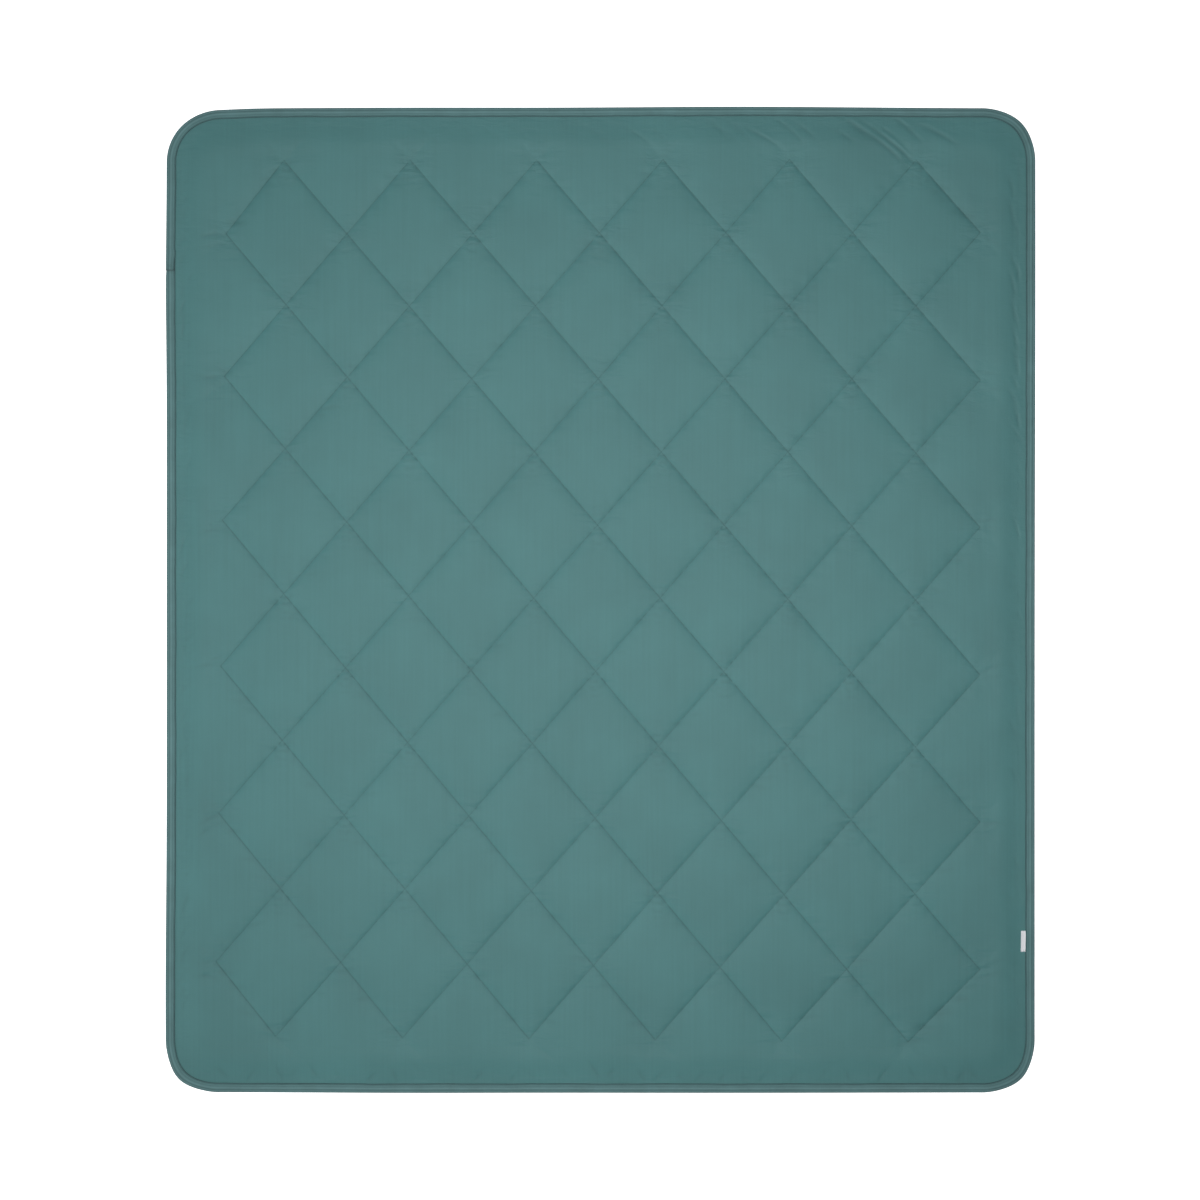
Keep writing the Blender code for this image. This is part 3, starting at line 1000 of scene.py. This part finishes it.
def tape_shape():
    """Every station of the tape, with its width, heights and draw, and its length along the course."""
    course = tape_course()
    shape = []
    along = 0.0
    lap_top = JOIN_Y + JOIN_OVERLAP
    for index, (edge, inward, in_corner) in enumerate(course):
        if index:
            along += (edge - course[index - 1][0]).length
        first_half = index < len(course) / 2
        on_left = edge.x < 0 and inward.x > 0.999
        drawn = lapped = 0.0
        if on_left and first_half:
            drawn = float(smooth_step(JOIN_Y - JOIN_MARGIN - JOIN_RAMP, JOIN_Y - JOIN_MARGIN, edge.y))
        elif on_left:
            ramp_foot = lap_top + JOIN_MARGIN
            lapped = 1 - float(smooth_step(ramp_foot, ramp_foot + JOIN_RAMP, edge.y))
        lifted = 0.0
        if edge.x > 0 and inward.x < -0.999:
            away = abs(edge.y - LABEL_Y) - LABEL_LENGTH / 2 - 0.002
            lifted = 1 - float(smooth_step(0.0, LABEL_RAMP, away))
        width = TAPE_WIDTH + WANDER * (math.sin(along * 31) + 0.6 * math.sin(along * 83 + 2))
        taper = (lap_top - edge.y) / JOIN_OVERLAP
        if lapped:
            narrowed = (JOIN_WIDER + JOIN_NARROWER) * min(max(taper, 0.0), 1.0)
            width += lapped * (JOIN_WIDER - narrowed)
        shape.append(
            {
                "edge": edge,
                "inward": inward,
                "in_corner": in_corner,
                "along": along,
                "width": width,
                "drawn": drawn * TAPE_DRAWN_IN,
                "low": tape_low - lapped * TAPE_STEP,
                "high": tape_high + lapped * TAPE_STEP + lifted * LABEL_LIFT,
            }
        )
    return shape


def relief(across, width):
    """Height of the tape's top over its plain height, this far in from its fold."""
    total = 0.0
    for place, half, size in TAPE_RELIEF + ((width - STITCH_INSET, *STITCH_VALLEY),):
        total += size * math.exp(-(((across - place) / half) ** 2))
    return total


def gather(station, across):
    """Height of the small folds that the tape's inner side makes round a corner."""
    share = station["in_corner"] * float(smooth_step(0.005, 0.015, across))
    wave = math.sin(2 * math.pi * station["along"] / GATHER_WAVE + 2 * math.sin(station["along"] * 47))
    return GATHER_HEIGHT * share * wave


def tape_section(station):
    """The tape's folded section at a station: how far in from the edge each point lies, and its height."""
    low, high, width = station["low"], station["high"], station["width"]
    middle = (low + high) / 2
    centre = TAPE_FOLD + station["drawn"]
    flat = [width - step for step in (0.0, 0.0004, 0.0011, STITCH_INSET, 0.0032, 0.0042)]
    flat += [share * width for share in (0.65, 0.56, 0.475, 0.39, 0.33, 0.288, 0.238, 0.175)]
    outer = [(width, high - 0.0002 + relief(width, width))]
    for across in flat:
        inset = 0.0001 if across == width else 0.0
        outer.append((across - inset, high + relief(across, width) + gather(station, across)))
    for step in range(FOLD_POINTS + 1):
        angle = math.pi * step / FOLD_POINTS
        outer.append((centre - TAPE_FOLD * math.sin(angle), middle + (high - low) / 2 * math.cos(angle)))
    outer += [(0.006, low), (width - STITCH_INSET - 0.001, low), (width - STITCH_INSET, low + 0.0001)]
    outer += [(width - 0.0008, low), (width, low)]
    inner = [(width, low + TAPE_THICKNESS), (0.006, low + TAPE_THICKNESS)]
    for step in range(FOLD_POINTS, -1, -1):
        angle = math.pi * step / FOLD_POINTS
        reach = (high - low) / 2 - TAPE_THICKNESS
        across = centre - (TAPE_FOLD - TAPE_THICKNESS) * math.sin(angle)
        inner.append((across, middle + reach * math.cos(angle)))
    inner += [(0.006, high - TAPE_THICKNESS - 0.0002), (width, high - TAPE_THICKNESS - 0.0003)]
    return outer + inner


tape_bm = bmesh.new()
weave_map = tape_bm.loops.layers.uv.new("weave")
shaded = tape_bm.verts.layers.float.new("shaded")
tape_stations = tape_shape()
rings = []
for station in tape_stations:
    ring = []
    for across, level in tape_section(station):
        place = station["edge"] + station["inward"] * across
        ring.append(tape_bm.verts.new((*lie(place.x, place.y), level)))
    rings.append(ring)
# Painted shade: the tape's colour is darkened at the folded cut end of its lapped end, and on the tape
# beneath beside that end, where the lapped end shades it
for station, ring in zip(tape_stations, rings):
    if station["edge"].x < 0 and station["inward"].x > 0.999:
        above = station["edge"].y - JOIN_Y
        over = station["along"] > 1
        reach = 0.0009 if over else 0.0016
        share = math.exp(-abs(above) / reach) * (0.85 if over else 1.0)
        for vert in ring:
            vert[shaded] = share
count = len(rings[0])
lengths = [0.0]
for before, after in zip(rings[0], rings[0][1:]):
    lengths.append(lengths[-1] + (after.co - before.co).length)
for index, (here, ahead) in enumerate(zip(rings, rings[1:])):
    for i in range(count):
        corners = (here[i - 1], here[i], ahead[i], ahead[i - 1])
        quad = tape_bm.faces.new(corners)
        quad.smooth = True
        places = (lengths[i - 1], lengths[i], lengths[i], lengths[i - 1])
        for corner, (loop, across) in enumerate(zip(quad.loops, places)):
            along = tape_stations[index + corner // 2]["along"]
            loop[weave_map].uv = (along, across)
tape_bm.faces.new(rings[0])
tape_bm.faces.new(rings[-1][::-1])
bmesh.ops.recalc_face_normals(tape_bm, faces=tape_bm.faces)
tape_mesh = bpy.data.meshes.new("edge_binding")
tape_bm.to_mesh(tape_mesh)
tape_bm.free()
# Ribbed tape, woven tight: duller and harder than the cloth. Its colour holds painted light on its cords and
# painted shade in the valleys along it, at its inner edge and at its fold
tape_finish, tree, shader = new_finish(
    "ribbed_polyester_tape",
    Roughness=0.70,
    Sheen_Weight=0.08,
    Sheen_Roughness=0.5,
)
weave = add_node(tree, "ShaderNodeUVMap", settings={"uv_map": "weave"}).outputs["UV"]
across = add_node(tree, "ShaderNodeSeparateXYZ", inputs={"Vector": weave}).outputs["Y"]
# The tone across the tape, from its inner edge: painted shade along the inner edge, a dull stitched strip,
# painted light on two cords with painted shade in the valleys beside them, and painted shade at the fold
bands = add_node(tree, "ShaderNodeMapRange", inputs={"Value": across, "From Max": 0.020})
tones = add_node(tree, "ShaderNodeValToRGB", inputs={"Fac": bands.outputs["Result"]})
ramp = tones.color_ramp
for place, shade in (
    (0.0, "#1B3A3B"),
    (0.03, "#294B4C"),
    (0.065, "#4C7374"),
    (0.11, "#4A7071"),
    (0.17, "#567F80"),
    (0.27, "#4C7475"),
    (0.43, "#608889"),
    (0.58, "#436869"),
    (0.67, "#5B8182"),
    (0.76, "#3F6264"),
):
    stop = ramp.elements.new(place)
    stop.color = colour(shade)
ramp.elements.remove(ramp.elements[-1])
ramp.elements.remove(ramp.elements[0])
# Crosswise ribs, drawn a little coarser than the real ones
ribs = add_node(
    tree,
    "ShaderNodeTexWave",
    settings={"bands_direction": "X"},
    inputs={"Vector": weave, "Scale": 2 * math.pi / (20 * 0.0012), "Distortion": 0.4},
)
patches = add_node(
    tree,
    "ShaderNodeTexNoise",
    inputs={"Vector": weave, "Scale": 22.0, "Detail": 4.0, "Roughness": 0.65},
)
value = add_node(
    tree,
    "ShaderNodeMapRange",
    inputs={
        "Value": patches.outputs["Fac"],
        "From Min": 0.3,
        "From Max": 0.7,
        "To Min": 0.90,
        "To Max": 1.10,
    },
)
# Painted shade at the lapped join, from the amount set on the tape's points
shade = add_node(tree, "ShaderNodeAttribute", settings={"attribute_name": "shaded"})
darkened = add_node(
    tree,
    "ShaderNodeMath",
    settings={"operation": "MULTIPLY_ADD"},
    inputs={0: shade.outputs["Fac"], 1: -0.6, 2: value.outputs["Result"]},
)
dyed = add_node(
    tree,
    "ShaderNodeHueSaturation",
    inputs={"Color": tones.outputs["Color"], "Value": darkened.outputs["Value"]},
)
tree.links.new(dyed.outputs["Color"], shader.inputs["Base Color"])
bump = add_node(
    tree,
    "ShaderNodeBump",
    inputs={"Height": ribs.outputs["Fac"], "Strength": 0.3, "Distance": 0.0002},
)
tree.links.new(bump.outputs["Normal"], shader.inputs["Normal"])
tape = piece_from(tape_mesh, tape_finish, smooth=False)
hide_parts("binding_tape")
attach(tape, "blanket")

# Quilting stitches
# Lockstitches of spun polyester thread, needle thread on the face and bobbin thread under the back. Each
# stitch dives into the cloth at both ends, and every seam is one closed line of them.

STITCH_LENGTH = 0.0035
THREAD_DIAMETER = 0.0005
STITCH_SEGMENTS = 4
THREAD_SIDES = 5
STITCH_RISE = 0.00025
STITCH_DIP = 0.0003


def stitch_shape(name, length, over):
    """One stitch along X, bowed up if over is 1, or down if it is -1."""
    bm = bmesh.new()
    rings = []
    for step in range(STITCH_SEGMENTS + 1):
        t = 2 * step / STITCH_SEGMENTS - 1
        radius = THREAD_DIAMETER / 2 * (1 - 0.35 * t**4)
        middle = over * (STITCH_RISE - (STITCH_RISE + STITCH_DIP) * t**4)
        ring = []
        for side in range(THREAD_SIDES):
            angle = 2 * math.pi * (side + 0.25) / THREAD_SIDES
            point = (t * length / 2, radius * math.cos(angle), middle + radius * math.sin(angle))
            ring.append(bm.verts.new(point))
        rings.append(ring)
    for here, ahead in zip(rings, rings[1:]):
        for side in range(THREAD_SIDES):
            bm.faces.new((here[side - 1], here[side], ahead[side], ahead[side - 1]))
    bm.faces.new(rings[0])
    bm.faces.new(rings[-1])
    bmesh.ops.recalc_face_normals(bm, faces=bm.faces)
    mesh = bpy.data.meshes.new(name)
    bm.to_mesh(mesh)
    bm.free()
    mesh.shade_smooth()
    stitch = bpy.data.objects.new(name, mesh)
    scene.collection.objects.link(stitch)
    return stitch


def lockstitch_tree():
    """Geometry Nodes that set stitches end to end along a seam."""
    tree = bpy.data.node_groups.new("lockstitches", "GeometryNodeTree")
    sockets = {"Seam": "Geometry", "Stitch": "Object", "Stitch length": "Float", "Thread": "Material"}
    for name, kind in sockets.items():
        tree.interface.new_socket(name, in_out="INPUT", socket_type="NodeSocket" + kind)
    tree.interface.new_socket("Stitches", in_out="OUTPUT", socket_type="NodeSocketGeometry")
    given = add_node(tree, "NodeGroupInput").outputs
    spaced = add_node(
        tree,
        "GeometryNodeResampleCurve",
        settings={"mode": "LENGTH"},
        inputs={"Curve": given["Seam"], "Length": given["Stitch length"]},
    )
    stitch = add_node(tree, "GeometryNodeObjectInfo", inputs={"Object": given["Stitch"]})
    tangent = add_node(tree, "GeometryNodeInputTangent")
    turned = add_node(
        tree,
        "FunctionNodeAlignRotationToVector",
        settings={"axis": "X", "pivot_axis": "Z"},
        inputs={"Vector": tangent.outputs["Tangent"]},
    )
    tension = add_node(
        tree,
        "FunctionNodeRandomValue",
        settings={"data_type": "FLOAT"},
        inputs={2: 0.9, 3: 1.0, "Seed": 4},
    )
    placed = add_node(
        tree,
        "GeometryNodeInstanceOnPoints",
        inputs={
            "Points": spaced.outputs["Curve"],
            "Instance": stitch.outputs["Geometry"],
            "Rotation": turned.outputs["Rotation"],
            "Scale": tension.outputs[1],
        },
    )
    real = add_node(
        tree, "GeometryNodeRealizeInstances", inputs={"Geometry": placed.outputs["Instances"]}
    )
    dyed = add_node(
        tree,
        "GeometryNodeSetMaterial",
        inputs={"Geometry": real.outputs["Geometry"], "Material": given["Thread"]},
    )
    add_node(tree, "NodeGroupOutput", inputs={"Stitches": dyed.outputs["Geometry"]})
    return tree


lockstitches = lockstitch_tree()


def sewn(name, path, stitch, length, thread, closed=True):
    """A piece of stitches along a path."""
    curve = bpy.data.curves.new(name + "_path", "CURVE")
    curve.dimensions = "3D"
    spline = curve.splines.new("POLY")
    spline.points.add(len(path) - 1)
    for target, point in zip(spline.points, path):
        target.co = (*point, 1.0)
    spline.use_cyclic_u = closed
    guide = bpy.data.objects.new(name + "_path", curve)
    scene.collection.objects.link(guide)
    modifier = guide.modifiers.new("lockstitches", "NODES")
    modifier.node_group = lockstitches
    values = {"Stitch": stitch, "Stitch length": length, "Thread": thread}
    for socket in lockstitches.interface.items_tree:
        if socket.name in values:
            modifier[socket.identifier] = values[socket.name]
    graph = bpy.context.evaluated_depsgraph_get()
    mesh = bpy.data.meshes.new_from_object(guide.evaluated_get(graph))
    mesh.name = name
    bpy.data.objects.remove(guide)
    piece = bpy.data.objects.new(name, mesh)
    scene.collection.objects.link(piece)
    return piece


def seam_path(number, level):
    """The crept course of one quilting seam, once round its four legs."""
    near = 2 * number - 1
    far = SIDES - near
    turns = [(near, 0), (SIDES, far), (far, SIDES), (0, near)]
    columns, rows = np.array(turns, float).T
    x, y = crept((columns - DIAMONDS) * cell_x, (DIAMONDS - rows) * cell_y)
    return [(float(a), float(b), level) for a, b in zip(x, y)]


# Dyed a little darker than the cloth, so that each stitch shows as a short dark dash
quilt_thread, tree, shader = new_finish(
    "spun_polyester_quilting_thread",
    Base_Color=colour("#3A6160"),
    Roughness=0.6,
)
over_stitch = stitch_shape("over_stitch", STITCH_LENGTH, 1)
under_stitch = stitch_shape("under_stitch", STITCH_LENGTH, -1)
for number in range(1, DIAMONDS + 1):
    needle = sewn(
        f"quilt_needle_stitches_{number}",
        seam_path(number, face_seam),
        over_stitch,
        STITCH_LENGTH,
        quilt_thread,
    )
    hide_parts(f"quilt_needle_thread_{number}")
    bobbin = sewn(
        f"quilt_bobbin_stitches_{number}",
        seam_path(number, back_seam),
        under_stitch,
        STITCH_LENGTH,
        quilt_thread,
    )
    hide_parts(f"quilt_bobbin_thread_{number}")
    for piece in (needle, bobbin):
        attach(piece, "blanket")

# Binding stitches
# One lockstitch seam holds both sides of the tape, a little in from its inner edge, and two short rows of
# small stitches across the lapped end hold it down.

TACK_FROM_END = 0.006
TACK_ROW_GAP = 0.0024
BINDING_STITCH_LENGTH = 0.0032
TACK_STITCH_LENGTH = 0.0022

# The same kind of thread, dyed for the tape
binding_thread, tree, shader = new_finish(
    "spun_polyester_binding_thread",
    Base_Color=colour("#3C6262"),
    Roughness=0.6,
)
needle_path, bobbin_path = [], []
for station in tape_stations:
    if station["along"] < JOIN_OVERLAP:
        continue
    across = station["width"] - STITCH_INSET
    place = lie(*(station["edge"] + station["inward"] * across))
    top = station["high"] + relief(across, station["width"]) + gather(station, across)
    needle_path.append((*place, top))
    bobbin_path.append((*place, station["low"]))

for name, path, stitch, node in (
    ("binding_needle_stitches", needle_path, over_stitch, "binding_needle_thread"),
    ("binding_bobbin_stitches", bobbin_path, under_stitch, "binding_bobbin_thread"),
):
    piece = sewn(name, path, stitch, BINDING_STITCH_LENGTH, binding_thread, closed=False)
    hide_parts(node)
    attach(piece, "blanket")

tack_level = tape_high + TAPE_STEP + THREAD_DIAMETER / 4
tack_y = JOIN_Y + TACK_FROM_END
tack_ends = (
    -half_width + STITCH_INSET,
    -half_width + TAPE_WIDTH - JOIN_NARROWER - 2 * STITCH_INSET,
)
tack_turns = ((0, tack_ends[0]), (0, tack_ends[1]), (1, tack_ends[1]), (1, tack_ends[0]))
tack_stitch = stitch_shape("tack_stitch", TACK_STITCH_LENGTH, 1)
tack = sewn(
    "join_tack_stitches",
    [(*lie(end, tack_y + row * TACK_ROW_GAP), tack_level) for row, end in tack_turns],
    tack_stitch,
    TACK_STITCH_LENGTH,
    binding_thread,
    closed=False,
)
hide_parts("join_tack_thread")
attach(tack, "blanket")
for pattern in (over_stitch, under_stitch, tack_stitch):
    bpy.data.objects.remove(pattern)

# Label
# A small satin label, woven plain and cut from a strip with a hot knife. One end is sewn in under the tape,
# and the rest lies loose on the face cloth.

LABEL_THICKNESS = 0.00035
LABEL_SEWN_IN = 0.008
LABEL_TILT = 0.018
LABEL_ROWS = 44
LABEL_COLUMNS = 20
LABEL_SLOPE = 0.24
LABEL_CURL = 9.0
LABEL_RIPPLE = 0.00012

tail_low, tail_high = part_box("label_tail")
flap_low, flap_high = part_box("label_flap")
hinge_x = (tail_low.x + flap_high.x) / 2
hinge_z = (tail_low.z + tail_high.z) / 2
label_start = tail_low.x + LABEL_SEWN_IN
label_end = flap_low.x

label_bm = bmesh.new()
label_map = label_bm.loops.layers.uv.new("weave")
label_rows = []
for i in range(LABEL_ROWS + 1):
    x = label_start + (label_end - label_start) * i / LABEL_ROWS
    out = max(0.0, hinge_x - x)
    level = hinge_z + LABEL_SLOPE * out + LABEL_CURL * out**2
    row = []
    for j in range(LABEL_COLUMNS + 1):
        across = LABEL_LENGTH * (j / LABEL_COLUMNS - 0.5)
        ripple = LABEL_RIPPLE * math.sin(across * 260 + 1) * out / 0.006
        place = Vector((x + across * LABEL_TILT * (out > 0), LABEL_Y + across, level + ripple))
        row.append(label_bm.verts.new(place))
    label_rows.append(row)
for i in range(LABEL_ROWS):
    for j in range(LABEL_COLUMNS):
        corners = (
            label_rows[i][j],
            label_rows[i][j + 1],
            label_rows[i + 1][j + 1],
            label_rows[i + 1][j],
        )
        quad = label_bm.faces.new(corners)
        quad.smooth = True
        for loop in quad.loops:
            loop[label_map].uv = (loop.vert.co.x, loop.vert.co.y)
bmesh.ops.recalc_face_normals(label_bm, faces=label_bm.faces)
label_mesh = bpy.data.meshes.new("woven_label")
label_bm.to_mesh(label_mesh)
label_bm.free()
# White satin, whose long floats give it a faint sheen
label_finish, tree, shader = new_finish(
    "woven_polyester_satin",
    Base_Color=colour("#FBFCFF"),
    Roughness=0.42,
    Sheen_Weight=0.2,
    Sheen_Roughness=0.3,
)
place = add_node(tree, "ShaderNodeUVMap", settings={"uv_map": "weave"}).outputs["UV"]
floats = add_node(
    tree,
    "ShaderNodeTexWave",
    settings={"bands_direction": "DIAGONAL"},
    inputs={"Vector": place, "Scale": 2 * math.pi / (20 * 0.0006), "Distortion": 0.5},
)
bump = add_node(
    tree,
    "ShaderNodeBump",
    inputs={"Height": floats.outputs["Fac"], "Strength": 0.35, "Distance": 0.0001},
)
tree.links.new(bump.outputs["Normal"], shader.inputs["Normal"])
flat_label = piece_from(label_mesh, label_finish, smooth=False)
wall = flat_label.modifiers.new("thickness", "SOLIDIFY")
wall.thickness = LABEL_THICKNESS
wall.offset = 0.0
graph = bpy.context.evaluated_depsgraph_get()
label_mesh = bpy.data.meshes.new_from_object(flat_label.evaluated_get(graph))
label_mesh.name = "woven_label"
bpy.data.objects.remove(flat_label)
label = bpy.data.objects.new("woven_label", label_mesh)
scene.collection.objects.link(label)
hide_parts("label_tail", "label_flap")
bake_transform(label)
